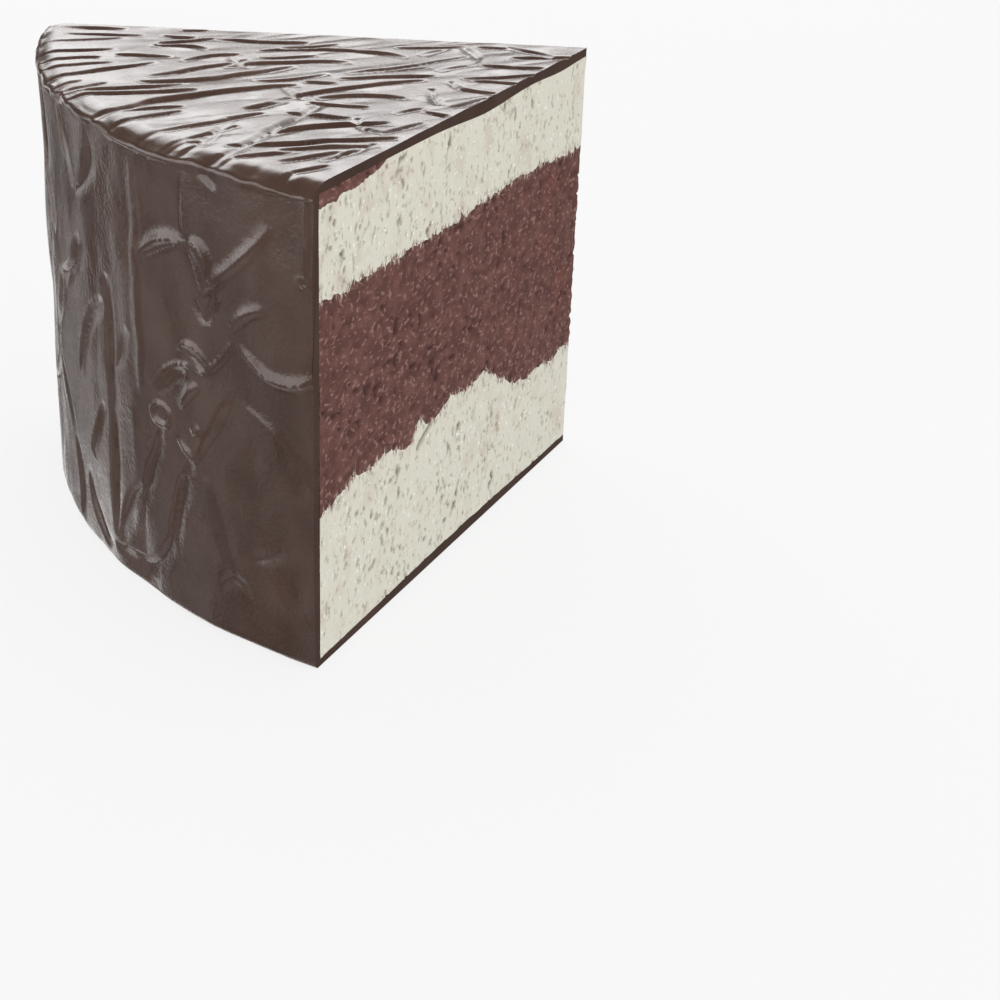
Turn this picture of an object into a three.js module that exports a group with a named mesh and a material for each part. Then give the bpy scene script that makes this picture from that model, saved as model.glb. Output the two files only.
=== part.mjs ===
// A slice of chocolate cake: a wrinkled chocolate coating that wraps the top, the outer wall and the base,
// round two layers of cream with a chocolate sponge between them.
// Millimetres, +Z up. The tip of the slice points along -X and the cake's outer wall faces +X.

import * as THREE from 'three';
import { mergeVertices } from 'three/addons/utils/BufferGeometryUtils.js';

// Driving dimensions.
const CAKE_RADIUS = 110;
const TIP_FROM_CENTRE = 12.75;
const SLICE_ANGLE = THREE.MathUtils.degToRad(66.87);
const HEIGHT = 78.8;
const GAP = 0.3;

// The coating's thickness on the wall, the base and the top, and the rounding of its two outer edges.
const WALL_COAT = 1.9;
const BASE_COAT = { least: 1.35, more: 0.6, at: 50, spread: 30 };
const TOP_COAT = 1.55;
const RIM_IN = 4.5;
const RIM_DOWN = 2.6;
const FOOT_ROUND = 1.2;

// How far apart the rows of points are on the wrinkled skin, and on the smoother surfaces inside it.
const SKIN_STEP = 2.1;
const SEAM_STEP = 3;
const ROUND_STEPS = 4;

// Places across the inner surfaces, from the cut face at -1 to the cut face at +1.
const SEAM_COLUMNS = [-1, -0.86, -0.55, -0.2, 0.2, 0.52, 0.7, 0.86, 1];
const WALL_COLUMNS = 32;

// Bumps on the inner surfaces: centre (distance from the tip, place across), spreads and height.
const COAT_SAGS = [
  { reach: 42, across: 1, along: 12, sideways: 1, height: 0.85 },
  { reach: 52, across: -1, along: 12, sideways: 1, height: 0.85 },
  { reach: 12, across: 0, along: 8, sideways: 2, height: 0.6 },
];
const UPPER_SEAM_LEVEL = 60.6;
const UPPER_SEAM_BUMPS = [
  { reach: 0, across: 0, along: 14, sideways: 3, height: -0.8 },
  { reach: 27, across: 1, along: 14, sideways: 0.8, height: 1.2 },
  { reach: 44, across: -1, along: 14, sideways: 0.8, height: 2.2 },
  { reach: 56, across: -1, along: 5, sideways: 0.3, height: 1.9 },
  { reach: 79, across: -1, along: 9, sideways: 0.6, height: 3 },
];
const LOWER_SEAM_LEVEL = 21;
const LOWER_SEAM_STEP = { from: 20, to: 42, height: 7 };
const LOWER_SEAM_BUMPS = [
  { reach: 96, across: -1, along: 7, sideways: 0.5, height: 3.4 },
  { reach: 41, across: -1, along: 2.5, sideways: 0.2, height: 2 },
  { reach: 41, across: 1, along: 6, sideways: 0.3, height: 1.2 },
  { reach: 52, across: 1, along: 4, sideways: 0.3, height: 1.4 },
  { reach: 64, across: 1, along: 2, sideways: 0.25, height: 2.2 },
  { reach: 69, across: 1, along: 3, sideways: 0.25, height: -1.4 },
  { reach: 84, across: 1, along: 7, sideways: 0.4, height: 0.5 },
  { reach: 98, across: 1, along: 9, sideways: 0.4, height: -1.7 },
];

// The torn edge of the sponge: its height, its waves per millimetre, how far they slant across the slice,
// and how fast they fade away from the cut faces.
const TORN_HEIGHT = 0.35;
const TORN_WAVES = [0.9, 1.7, 2.6];
const TORN_SLANT = 2;
const TORN_FADE = 8;

// The thin piece of sponge under the glaze, beside the wall at one cut face. It starts at the place `from`
// across the slice and is full thickness at `full`, and the cream dips beside it over the width `aside`.
const SLIVER = { length: 20, blunt: 2, thickness: 2.3, edge: 0.4, from: 0.52, full: 0.9, aside: 0.3 };
const SLIVER_ROWS = 7;
const SLIVER_COLUMNS = 8;

// Folds of the coating on the top: from and to (x, y from the tip), bow to the left, width of the gentle
// side, and depth, which is below zero for a ridge.
const TOP_FOLDS = [
  [6, 5, 17, 1, 0, 2.2, 0.7],
  [9, 4.5, 13.5, -6, 0, 2.4, 0.6],
  [15, 10, 25, 4, 0, 1.9, 0.7],
  [26, 3, 21, -9, -1.5, 2.2, 0.6],
  [18, 13, 33, 10.5, 0, 1.7, 0.6],
  [32.5, 21, 35.5, 11.5, 1.5, 1.9, 0.75],
  [44, 24, 41, 14, 0, 1.7, 0.7],
  [36, 7, 52, 2.5, 0, 1.7, 0.7],
  [23, -2.5, 49, 0.5, 0, 1.6, 0.6],
  [20, -9, 33, -13, 0, 1.6, 0.6],
  [39, 9, 68, 11.5, -2, 1.9, 0.8],
  [34, -6, 56, -20, -4, 2, 0.85],
  [45, -7, 66, -12, -2, 2, 0.75],
  [47, 18, 61, 12.5, -2, 2.2, 0.8],
  [56, 21, 63, 14, 0, 1.8, 0.7],
  [61, 15, 90, 37.5, 0, 2.2, 0.8],
  [57, 30, 78, 28.5, -2.5, 2.6, 0.9],
  [60, 37.5, 85, 31, 0, 1.8, 0.8],
  [61, 34, 60, 25, 1, 2, 0.7],
  [52, 32, 62, 34.5, 0, 1.7, 0.6],
  [64, 39, 76, 44, 0, 1.8, 0.6],
  [72, 17, 92, 20, 0, 2, 0.7],
  [78, 17, 91, 33, 0, 1.8, 0.6],
  [60, 3.5, 97, 7, -2.5, 2.4, 0.9],
  [62.5, 13, 62.5, 4, 0.6, 1.8, 0.6],
  [76, 0, 97, -6.5, 1.2, 2.2, 0.8],
  [52, -1, 66, -1.5, 1, 1.6, 0.6],
  [55, -8, 83, -8.5, 2, 2.4, 0.8],
  [76, -5, 97, -9, 1.5, 2, 0.7],
  [61.5, -9, 61.5, -20, 0.6, 2, 0.65],
  [60, -15, 80, -11, 0, 1.8, 0.7],
  [60, -19, 71, -18.5, -1.2, 1.8, 0.7],
  [48, -13.5, 58, -15.5, 0, 1.5, 0.6],
  [76, -19, 95, -17, 0, 2, 0.7],
  [82, -22, 96, -24.5, 0, 1.7, 0.6],
  [45, -22, 59, -31, 0, 2.2, 0.8],
  [64, -24, 71, -31, -1.5, 2, 0.75],
  [71.5, -22, 80, -27, -1, 1.8, 0.65],
  [83, -26, 95, -28, -0.8, 1.7, 0.65],
  [78, -31, 91, -34, 0, 1.8, 0.65],
  [62, -33, 67, -37, 0, 1.8, 0.6],
  [74, -38, 88, -40, 0, 1.8, 0.5],
  [71, -44, 81, -50, 0, 2.2, 0.7],
];

// The same on the outer wall: along the arc from its middle, and up from the base.
const WALL_FOLDS = [
  [-24, 77, -24, 60, 0, 2.2, 0.7],
  [-24, 60, -16, 52, 0, 2, 0.6],
  [-10, 76, -2.5, 64, -1, 1.6, 0.7],
  [4, 75, -1.5, 64, 2, 1.6, 0.6],
  [-2, 57, -14, 46, 1.5, 2, 1.0],
  [-13, 47, -24, 31, 0.5, 2.2, 1.1],
  [-24, 31, -13, 16, 0, 2, 0.9],
  [-13, 17, -9.5, 1, 0.8, 2, 0.8],
  [-24, 30, -38, 17, 2.5, 2.2, 0.6],
  [6, 48, -6.5, 31, -2, 1.8, 0.9],
  [5, 29, -2, 18, -0.5, 1.7, 0.9],
  [-5, 13, 5, 2, -2, 1.8, 0.8],
  [7.5, 53, 8.5, 28, 0, 1.8, 0.9],
  [8.5, 31, 8, 6, 0, 1.8, 1.0],
  [15.5, 46, 9, 36, 0, 1.5, 0.5],
  [35.5, 76.8, 39.5, 75.2, 0, 1.2, 0.8],
  [39.5, 58.5, 36.5, 53.5, 0, 1, 0.6],
  [36.5, 53.5, 34.5, 57, 0, 0.9, 0.6],
  [30.5, 43.5, 23.5, 38, 0, 1, 0.6],
  [32, 29, 26, 11, -1, 2, 1.0],
  [26.5, 14, 15, 3.5, 2, 1.8, 0.9],
  [24, 32, 17, 17, 0.6, 1.6, 0.8],
  [18, 20, 9, 6, -0.5, 1.8, 0.9],
  [17.5, 5.6, 7.5, 4.2, 0, 1.0, 0.8],
  [43, 43, 33, 28, 0, 2.6, 0.8],
  [45, 15.8, 52, 19.2, 0, 1.6, 0.5],
  [38.5, 8.5, 44.5, 9.5, 2.2, 1.8, 0.5],
  [-33, 74, -41, 44, 3, 2.2, 0.8],
  [-36, 36, -48, 8, -3, 2.2, 0.7],
  [-48, 68, -51, 32, 2, 2, 0.7],
  [19.5, 77, 19.8, 36, 0, 1.4, -0.7],
  [32.8, 77, 32.5, 66, 0, 1.2, -0.4],
  [55.8, 78, 55.6, 65, 0, 1, -0.5],
  [32.5, 64.6, 20, 59.4, -1.7, 1.3, -0.9],
  [49.5, 71, 37.5, 60, 0.9, 1.3, -0.9],
  [37.8, 60, 33, 65.5, -1.6, 1.2, -0.9],
  [48.5, 58.2, 41.8, 53.8, -0.5, 1.2, -0.8],
  [59, 50.5, 43, 51.3, 3.1, 1.2, -0.9],
  [41.8, 51.5, 36.3, 45.2, 0.5, 0.6, -0.6],
  [37, 46, 29.3, 46.6, -2.2, 0.6, -0.6],
  [33.5, 45, 22, 38.4, -1.5, 0.7, -0.6],
  [34.6, 42.2, 29.4, 37, -0.4, 1.4, -0.9],
  [33, 29, 28.5, 32, 0, 0.9, -0.6],
  [35, 27, 41, 11, -0.8, 3.2, -0.5],
  [41, 42.2, 57, 31, 2.8, 2.6, -0.5],
];

// Shares of the listed widths and depths, width of a fold's steep side against its gentle side,
// pointedness of its ends and softness of its edges.
const TOP_FOLD_SHAPE = { width: 1.2, depth: 0.8, lean: 0.7, taper: 0.5, edge: 1.5 };
const WALL_FOLD_SHAPE = { width: 1.9, depth: 1, lean: 0.6, taper: 0.6, edge: 1.8 };

// The deepest that the wall's relief may go, on the wall and beside the rim, and how softly it stops there.
const WALL_DEEPEST = 1.6;
const RIM_DEEPEST = 0.9;
const WALL_SOFTNESS = 0.5;

// A small ring where the coating is crumpled: along the wall, height, radius and rise. Its shape is how much
// wider than high it is, the width of the raised line, and the depth and size of the hollow.
const WALL_RINGS = [[24.5, 34.2, 2.3, 0.5]];
const RING_SHAPE = { flatten: 1.25, line: 0.6, hollow: 0.35, inside: 0.6 };

// How far the wall lies inside the cake's radius, how wide the calmer strip beside the rim is, and how much
// shallower the folds are there.
const WALL_INSET = 0.2;
const RIM_CALM = 6;
const RIM_EASE = 0.15;

// Waves and creases on the wall: spacing, height, seed and stretch of the noise, and for the creases how
// far they stray and how narrow they are.
const WALL_WAVES = { spacing: 9, height: 0.5, seed: 40, stretch: 0.55 };
const WALL_CREASES = { spacing: 13, height: 0.25, seed: 41, stray: 0.25, narrow: 1.6 };

// Plan of the slice

const HALF_ANGLE = SLICE_ANGLE / 2;
const DEPTH = CAKE_RADIUS - TIP_FROM_CENTRE;

// Distance from the tip to the outer wall, in the direction `turn` away from the slice's middle line.
function wallReach(turn) {
  const sideways = TIP_FROM_CENTRE * Math.sin(turn);
  return Math.sqrt(CAKE_RADIUS ** 2 - sideways ** 2) - TIP_FROM_CENTRE * Math.cos(turn);
}

function place(reach, turn, height) {
  return new THREE.Vector3(reach * Math.cos(turn), reach * Math.sin(turn), height);
}

// Length along the arc of the wall, from its middle.
function alongWall(turn) {
  const reach = wallReach(turn);
  const fromCentre = Math.atan2(reach * Math.sin(turn), reach * Math.cos(turn) + TIP_FROM_CENTRE);
  return fromCentre * CAKE_RADIUS;
}

// Noise

// A repeatable number between -1 and 1 for each whole-number cell.
function latticeValue(i, j, k, seed) {
  const sum = Math.imul(i, 374761393) + Math.imul(j, 668265263) + Math.imul(k, 1103515245) + seed * 974711;
  const first = sum >>> 0;
  const second = Math.imul(first ^ (first >>> 13), 1274126177);
  return ((second ^ (second >>> 16)) >>> 0) / 2147483648 - 1;
}

// Smooth noise between -1 and 1, with features as large as `spacing`.
function noise(point, spacing, seed) {
  const scaled = point.clone().divideScalar(spacing);
  const cell = scaled.clone().floor();
  const ease = scaled.sub(cell).toArray().map((part) => part * part * (3 - 2 * part));
  let total = 0;
  for (const i of [0, 1]) {
    for (const j of [0, 1]) {
      for (const k of [0, 1]) {
        const weights = [i, j, k].map((side, axis) => (side === 1 ? ease[axis] : 1 - ease[axis]));
        const value = latticeValue(cell.x + i, cell.y + j, cell.z + k, seed);
        total += weights[0] * weights[1] * weights[2] * value;
      }
    }
  }
  return total;
}

// Smooth pillows between sharp creases, from -1 to 0.
function crumple(point, { spacing, seed, stray, narrow }) {
  const shift = [7, 8, 9].map((more) => noise(point, spacing, seed + more));
  const warped = new THREE.Vector3(...shift).multiplyScalar(stray * spacing).add(point);
  return Math.min(1, narrow * Math.abs(noise(warped, spacing, seed))) - 1;
}

// Relief

function bell(distance, spread) {
  return Math.exp(-((distance / spread) ** 2));
}

// One fold: a sharp bowed line between a gentle and a steep side, which fades out at both ends.
// The gentle side of a valley is on its left, that of a ridge on its right.
function foldDepth([x0, y0, x1, y1, bow, width, depth], shape, x, y) {
  const length = Math.hypot(x1 - x0, y1 - y0);
  const alongX = (x1 - x0) / length;
  const alongY = (y1 - y0) / length;
  const along = ((x - x0) * alongX + (y - y0) * alongY) / length;
  if (along <= 0 || along >= 1) {
    return 0;
  }
  const arch = 4 * along * (1 - along);
  const off = ((y - y0) * alongX - (x - x0) * alongY - bow * arch) * Math.sign(depth);
  const side = Math.max(0, 1 - Math.max(off, -off / shape.lean) / (width * shape.width));
  return depth * shape.depth * arch ** shape.taper * side ** shape.edge;
}

function folds(list, shape, x, y) {
  const depths = list.map((fold) => foldDepth(fold, shape, x, y));
  return -Math.max(...depths, 0) - Math.min(...depths, 0);
}

function rings(list, x, y) {
  let height = 0;
  for (const [ringX, ringY, radius, rise] of list) {
    const fromMiddle = Math.hypot(x - ringX, (y - ringY) * RING_SHAPE.flatten);
    const hollow = RING_SHAPE.hollow * bell(fromMiddle, radius * RING_SHAPE.inside);
    height += rise * (bell(fromMiddle - radius, RING_SHAPE.line) - hollow);
  }
  return height;
}

function bumps(list, reach, across) {
  let height = 0;
  for (const bump of list) {
    const near = bell(reach - bump.reach, bump.along) * bell(across - bump.across, bump.sideways);
    height += bump.height * near;
  }
  return height;
}

// The ragged edge where the knife tore the crumb, strongest at the two cut faces.
function torn(reach, across) {
  let height = 0;
  for (const wave of TORN_WAVES) {
    height += TORN_HEIGHT * Math.sin(wave * reach + TORN_SLANT * across + wave);
  }
  return height * Math.abs(across) ** TORN_FADE;
}

// Heights of the surfaces between the layers

function coatUnderside(reach, across) {
  return HEIGHT - TOP_COAT - bumps(COAT_SAGS, reach, across);
}

function baseTop(reach) {
  return BASE_COAT.least + BASE_COAT.more * bell(reach - BASE_COAT.at, BASE_COAT.spread);
}

function upperSeam(reach, across) {
  return UPPER_SEAM_LEVEL + bumps(UPPER_SEAM_BUMPS, reach, across) + torn(reach, across);
}

function lowerSeam(reach, across) {
  const rise = THREE.MathUtils.smoothstep(reach, LOWER_SEAM_STEP.from, LOWER_SEAM_STEP.to);
  const side = THREE.MathUtils.smoothstep(across, -1, 1);
  const level = LOWER_SEAM_LEVEL + LOWER_SEAM_STEP.height * rise * side;
  return level + bumps(LOWER_SEAM_BUMPS, reach, across) + torn(reach + 1, across);
}

// How long the sliver of sponge is, inwards from the wall, at a place across the slice.
function sliverLength(across) {
  const share = Math.max(0, (across - SLIVER.from) / (1 - SLIVER.from));
  return SLIVER.blunt + (SLIVER.length - SLIVER.blunt) * Math.sqrt(share);
}

function sliverThickness(fromWall, across) {
  const share = 1 - Math.min(1, fromWall / sliverLength(across));
  const fade = THREE.MathUtils.smoothstep(across, SLIVER.from, SLIVER.full);
  return SLIVER.edge + (SLIVER.thickness - SLIVER.edge) * Math.sqrt(share) * fade;
}

// The upper cream is pressed down under the sliver and meets the coating everywhere else.
function upperCreamTop(reach, across) {
  const fromWall = Math.max(0, wallReach(across * HALF_ANGLE) - WALL_COAT - GAP - reach - SEAM_STEP);
  const beyond = Math.max(fromWall - sliverLength(across), 0) / SEAM_STEP;
  const aside = Math.max(SLIVER.from - across, 0) / SLIVER.aside;
  const under = Math.max(0, 1 - Math.hypot(beyond, aside));
  return coatUnderside(reach, across) - GAP - under * (sliverThickness(fromWall, across) + GAP);
}

// Solids

// Triangles of the band between two rows of points, over the shorter diagonal at each step.
function band(rowA, rowB, triangles) {
  let a = 0;
  let b = 0;
  while (a < rowA.length - 1 || b < rowB.length - 1) {
    const endA = a === rowA.length - 1;
    const endB = b === rowB.length - 1;
    if (endB || (!endA && rowA[a + 1].distanceTo(rowB[b]) <= rowA[a].distanceTo(rowB[b + 1]))) {
      triangles.push(rowA[a], rowB[b], rowA[a + 1]);
      a += 1;
    } else {
      triangles.push(rowA[a], rowB[b], rowB[b + 1]);
      b += 1;
    }
  }
}

function bands(rows, triangles) {
  for (let row = 1; row < rows.length; row += 1) {
    band(rows[row - 1], rows[row], triangles);
  }
}

// The closed solid between an outer and an inner sheet, each a list of rows in the same order.
function solidBetween(outerRows, innerRows) {
  const triangles = [];
  bands(outerRows, triangles);
  band(outerRows.at(-1), innerRows.at(-1), triangles);
  bands(innerRows.toReversed(), triangles);
  band(innerRows[0], outerRows[0], triangles);
  const ends = (rows, column) => rows.map((row) => row.at(column));
  band(ends(outerRows, 0), ends(innerRows, 0), triangles);
  band(ends(innerRows, -1), ends(outerRows, -1), triangles);
  return mergeVertices(new THREE.BufferGeometry().setFromPoints(triangles));
}

function evenly(count) {
  return Array.from({ length: count + 1 }, (_, index) => index / count);
}

// Rows of points out from the tip to `edge`, the distance of the outer edge in each direction.
function seamRows(edge, height) {
  const rows = [[place(0, 0, height(0, 0))]];
  const count = Math.round(DEPTH / SEAM_STEP);
  for (const share of evenly(count).slice(1)) {
    const columns = share === 1 ? evenly(WALL_COLUMNS).map((value) => 2 * value - 1) : SEAM_COLUMNS;
    rows.push(columns.map((across) => {
      const turn = across * HALF_ANGLE;
      const reach = share * edge(turn);
      return place(reach, turn, height(reach, across));
    }));
  }
  return rows;
}

function acrossEvenly(width) {
  const count = Math.max(1, Math.round(width / SKIN_STEP));
  return evenly(count).map((share) => (2 * share - 1) * HALF_ANGLE);
}

function topOffset(reach, turn) {
  const { x, y } = place(reach, turn, HEIGHT);
  const rim = wallReach(turn) - RIM_IN;
  const calm = 1 - RIM_EASE * THREE.MathUtils.smoothstep(reach, rim - RIM_CALM, rim);
  return folds(TOP_FOLDS, TOP_FOLD_SHAPE, x, y) * calm;
}

function wallOffset(turn, height) {
  const along = alongWall(turn);
  const point = new THREE.Vector3(along, 0, height * WALL_WAVES.stretch);
  const relief = folds(WALL_FOLDS, WALL_FOLD_SHAPE, along, height) + rings(WALL_RINGS, along, height);
  const waves = WALL_WAVES.height * noise(point, WALL_WAVES.spacing, WALL_WAVES.seed);
  const creases = WALL_CREASES.height * crumple(point, WALL_CREASES);
  const top = HEIGHT - RIM_DOWN;
  const rim = THREE.MathUtils.smoothstep(height, top - RIM_CALM, top);
  const deepest = -THREE.MathUtils.lerp(WALL_DEEPEST, RIM_DEEPEST, rim);
  const over = relief + waves + creases - WALL_INSET - deepest;
  return deepest + (over + Math.hypot(over, WALL_SOFTNESS)) / 2;
}

function coatTopRows() {
  const rows = [[place(0, 0, HEIGHT)]];
  const count = Math.round((DEPTH - RIM_IN) / SKIN_STEP);
  for (const share of evenly(count).slice(1)) {
    rows.push(acrossEvenly(share * DEPTH * SLICE_ANGLE).map((turn) => {
      const reach = share * (wallReach(turn) - RIM_IN);
      return place(reach, turn, HEIGHT + topOffset(reach, turn));
    }));
  }
  return rows;
}

function coatRimRows() {
  return evenly(ROUND_STEPS).slice(1, -1).map((share) => {
    const out = Math.sin(share * Math.PI / 2);
    const up = Math.cos(share * Math.PI / 2);
    return acrossEvenly(DEPTH * SLICE_ANGLE).map((turn) => {
      const edge = wallReach(turn) - RIM_IN;
      const reach = edge + (RIM_IN + wallOffset(turn, HEIGHT - RIM_DOWN)) * out;
      return place(reach, turn, HEIGHT - RIM_DOWN + (RIM_DOWN + topOffset(edge, turn)) * up);
    });
  });
}

function coatWallRows() {
  const drop = HEIGHT - RIM_DOWN - FOOT_ROUND;
  return evenly(Math.round(drop / SKIN_STEP)).map((share) => {
    const height = HEIGHT - RIM_DOWN - share * drop;
    return acrossEvenly(DEPTH * SLICE_ANGLE).map((turn) => {
      return place(wallReach(turn) + wallOffset(turn, height), turn, height);
    });
  });
}

function coatFootRows() {
  return evenly(ROUND_STEPS).slice(1).map((share) => {
    const out = Math.cos(share * Math.PI / 2);
    const up = 1 - Math.sin(share * Math.PI / 2);
    return acrossEvenly(DEPTH * SLICE_ANGLE).map((turn) => {
      const fold = wallOffset(turn, FOOT_ROUND);
      return place(wallReach(turn) - FOOT_ROUND + (FOOT_ROUND + fold) * out, turn, FOOT_ROUND * up);
    });
  });
}

// The coating's section is a C, so its outer sheet runs from the tip over the rim and back to the tip.
function coatingSolid() {
  const outer = [...coatTopRows(), ...coatRimRows(), ...coatWallRows(), ...coatFootRows()];
  outer.push([place(0, 0, 0)]);
  const inside = (turn) => wallReach(turn) - WALL_COAT;
  const inner = [...seamRows(inside, coatUnderside), ...seamRows(inside, baseTop).toReversed()];
  return solidBetween(outer, inner);
}

function layerSolid(top, bottom) {
  const edge = (turn) => wallReach(turn) - WALL_COAT - GAP;
  return solidBetween(seamRows(edge, top), seamRows(edge, bottom));
}

function sliverRows(height) {
  return evenly(SLIVER_ROWS).map((rowShare) => {
    const across = 1 - (1 - SLIVER.from) * (1 - rowShare);
    const turn = across * HALF_ANGLE;
    const wall = wallReach(turn) - WALL_COAT - GAP;
    return evenly(SLIVER_COLUMNS).map((columnShare) => {
      const fromWall = sliverLength(across) * columnShare;
      return place(wall - fromWall, turn, height(wall - fromWall, fromWall, across));
    });
  });
}

function sliverSolid() {
  const top = (reach, fromWall, across) => coatUnderside(reach, across) - GAP;
  const bottom = (reach, fromWall, across) => {
    return top(reach, fromWall, across) - sliverThickness(fromWall, across);
  };
  return solidBetween(sliverRows(top), sliverRows(bottom));
}

// Materials

function material(color, roughness) {
  return new THREE.MeshStandardMaterial({ color, roughness, metalness: 0 });
}

const chocolate = material(0x4b3c34, 0.35);
const cream = material(0xdad6c6, 0.7);
const sponge = material(0x664541, 0.95);

// Assembly

const slice = new THREE.Group();

function addPiece(name, geometry, finish) {
  const mesh = new THREE.Mesh(geometry, finish);
  mesh.name = name;
  slice.add(mesh);
}

addPiece('chocolate_coating', coatingSolid(), chocolate);
const above = (seam) => (reach, across) => seam(reach, across) + GAP;
addPiece('upper_cream', layerSolid(upperCreamTop, above(upperSeam)), cream);
addPiece('chocolate_sponge', layerSolid(upperSeam, above(lowerSeam)), sponge);
addPiece('lower_cream', layerSolid(lowerSeam, above(baseTop)), cream);
addPiece('rim_sponge', sliverSolid(), sponge);

// The slice stands with the middle of its box over the origin.
const middle = new THREE.Box3().setFromObject(slice).getCenter(new THREE.Vector3());
slice.position.set(-middle.x, -middle.y, 0);

const cake = new THREE.Group();
cake.add(slice);

export default cake;
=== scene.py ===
"""A slice of chocolate cake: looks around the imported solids.

Lengths are millimetres measured from the tip of the slice, until a mesh is made: then they are metres in
the frame of the solids. `turn` is an angle about the tip, and `across` runs from -1 at one cut face to +1
at the other.
"""
import itertools
import math

import bpy
import numpy as np
from mathutils import Matrix, Vector


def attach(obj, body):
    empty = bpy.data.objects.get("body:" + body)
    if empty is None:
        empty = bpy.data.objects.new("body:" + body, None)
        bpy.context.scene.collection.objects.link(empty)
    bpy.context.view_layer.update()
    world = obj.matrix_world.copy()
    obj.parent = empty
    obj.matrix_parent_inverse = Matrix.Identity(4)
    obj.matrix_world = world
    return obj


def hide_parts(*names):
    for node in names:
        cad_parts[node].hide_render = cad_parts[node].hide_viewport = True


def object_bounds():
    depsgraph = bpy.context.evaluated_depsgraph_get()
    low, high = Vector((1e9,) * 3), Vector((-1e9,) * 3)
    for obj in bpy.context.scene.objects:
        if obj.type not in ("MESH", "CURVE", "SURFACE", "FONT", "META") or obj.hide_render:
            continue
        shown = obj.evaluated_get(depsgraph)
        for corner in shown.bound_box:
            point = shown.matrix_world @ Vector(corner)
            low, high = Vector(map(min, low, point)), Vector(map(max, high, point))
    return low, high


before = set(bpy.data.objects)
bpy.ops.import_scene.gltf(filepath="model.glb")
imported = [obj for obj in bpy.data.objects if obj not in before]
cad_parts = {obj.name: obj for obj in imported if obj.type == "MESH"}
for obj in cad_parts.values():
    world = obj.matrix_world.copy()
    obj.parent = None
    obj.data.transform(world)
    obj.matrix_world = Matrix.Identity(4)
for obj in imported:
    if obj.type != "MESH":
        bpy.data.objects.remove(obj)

CAD_LOW, CAD_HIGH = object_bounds()

# Sizes that the solids have too
CAKE_RADIUS = 110.0
TIP_FROM_CENTRE = 12.75
HALF_ANGLE = math.radians(66.87) / 2
HEIGHT = 78.8
WALL_COAT = 1.9
BASE_COAT = {"least": 1.35, "more": 0.6, "at": 50, "spread": 30}
TOP_COAT = 1.55
RIM_IN = 4.5
RIM_DOWN = 2.6
FOOT_ROUND = 1.2
DEPTH = CAKE_RADIUS - TIP_FROM_CENTRE
MM = 0.001
TIP_PLACE = np.array([CAD_LOW[0], (CAD_LOW[1] + CAD_HIGH[1]) / 2, 0])

# Spacing of the points on the coating, on the cut faces and on surfaces that don't show
SKIN_STEP = 0.42
CRUMB_STEP = 0.32
HIDDEN_STEP = 4.0
HIDDEN_ROW_STEP = 1.0
RIM_STEPS = 24
FOOT_STEPS = 5

# Edges that turn more than this, in degrees, are shaded as sharp ones
SHARP_ANGLE = 50

# How far the layers reach into the coating, so that no gap shows
COAT_OVERLAP = 0.05

# Bumps on the inner surfaces: centre (distance from the tip, place across), spreads and height
COAT_SAGS = [
    {"reach": 42, "across": 1, "along": 12, "sideways": 1, "height": 0.85},
    {"reach": 52, "across": -1, "along": 12, "sideways": 1, "height": 0.85},
    {"reach": 12, "across": 0, "along": 8, "sideways": 2, "height": 0.6},
]
UPPER_SEAM_LEVEL = 60.6
UPPER_SEAM_BUMPS = [
    {"reach": 0, "across": 0, "along": 14, "sideways": 3, "height": -0.8},
    {"reach": 27, "across": 1, "along": 14, "sideways": 0.8, "height": 1.2},
    {"reach": 44, "across": -1, "along": 14, "sideways": 0.8, "height": 2.2},
    {"reach": 56, "across": -1, "along": 5, "sideways": 0.3, "height": 1.9},
    {"reach": 79, "across": -1, "along": 9, "sideways": 0.6, "height": 3},
]
LOWER_SEAM_LEVEL = 21
LOWER_SEAM_STEP = {"from": 20, "to": 42, "height": 7}
LOWER_SEAM_BUMPS = [
    {"reach": 96, "across": -1, "along": 7, "sideways": 0.5, "height": 3.4},
    {"reach": 41, "across": -1, "along": 2.5, "sideways": 0.2, "height": 2},
    {"reach": 41, "across": 1, "along": 6, "sideways": 0.3, "height": 1.2},
    {"reach": 52, "across": 1, "along": 4, "sideways": 0.3, "height": 1.4},
    {"reach": 64, "across": 1, "along": 2, "sideways": 0.25, "height": 2.2},
    {"reach": 69, "across": 1, "along": 3, "sideways": 0.25, "height": -1.4},
    {"reach": 84, "across": 1, "along": 7, "sideways": 0.4, "height": 0.5},
    {"reach": 98, "across": 1, "along": 9, "sideways": 0.4, "height": -1.7},
]

# Torn crumb along a seam: height, size and seed of its ragged edges, and the seed of its thin spikes
UPPER_TEAR = {"edges": [[0.45, 5, 11], [0.3, 1.5, 12]], "spike_seed": 13}
LOWER_TEAR = {"edges": [[0.5, 4, 23], [0.3, 1.5, 24]], "spike_seed": 25}
SPIKES = {"size": 0.8, "patch": 6, "even": 0.6}
RAGGED_LAYERS = 3

# The thin piece of sponge under the glaze, beside the wall at one cut face. It starts at the place `from`
# across the slice and is full thickness at `full`. Its ragged edge fades out where it is thin.
SLIVER = {"length": 20, "blunt": 2, "thickness": 2.3, "least": 0.02, "from": 0.52, "full": 0.9}
SLIVER_TEAR = {"height": 0.5, "size": 1.6, "seed": 31, "from": 0.2, "full": 1.0}
SLIVER_ROWS = 7
SLIVER_LOOPS = 9

# Places across a layer between its two cut faces, where its hidden surfaces have points
LAYER_PLACES = np.linspace(0.94, -0.94, 11)

# Relief of the sponge's cut faces: crumbs, swells and patchy pores
CRUMB = {"stretch": [0.65, 0.65, 1], "size": 1.1, "seed": 61, "strength": 0.6, "height": 0.2}
SWELL = {"size": 9, "seed": 73, "height": 0.1}
PORES = {"size": 0.9, "seed": 71, "from": 0.5, "full": 0.9, "depth": 0.35}
PORE_PATCHES = {"size": 4.0, "seed": 72, "share": 0.4}

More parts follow.
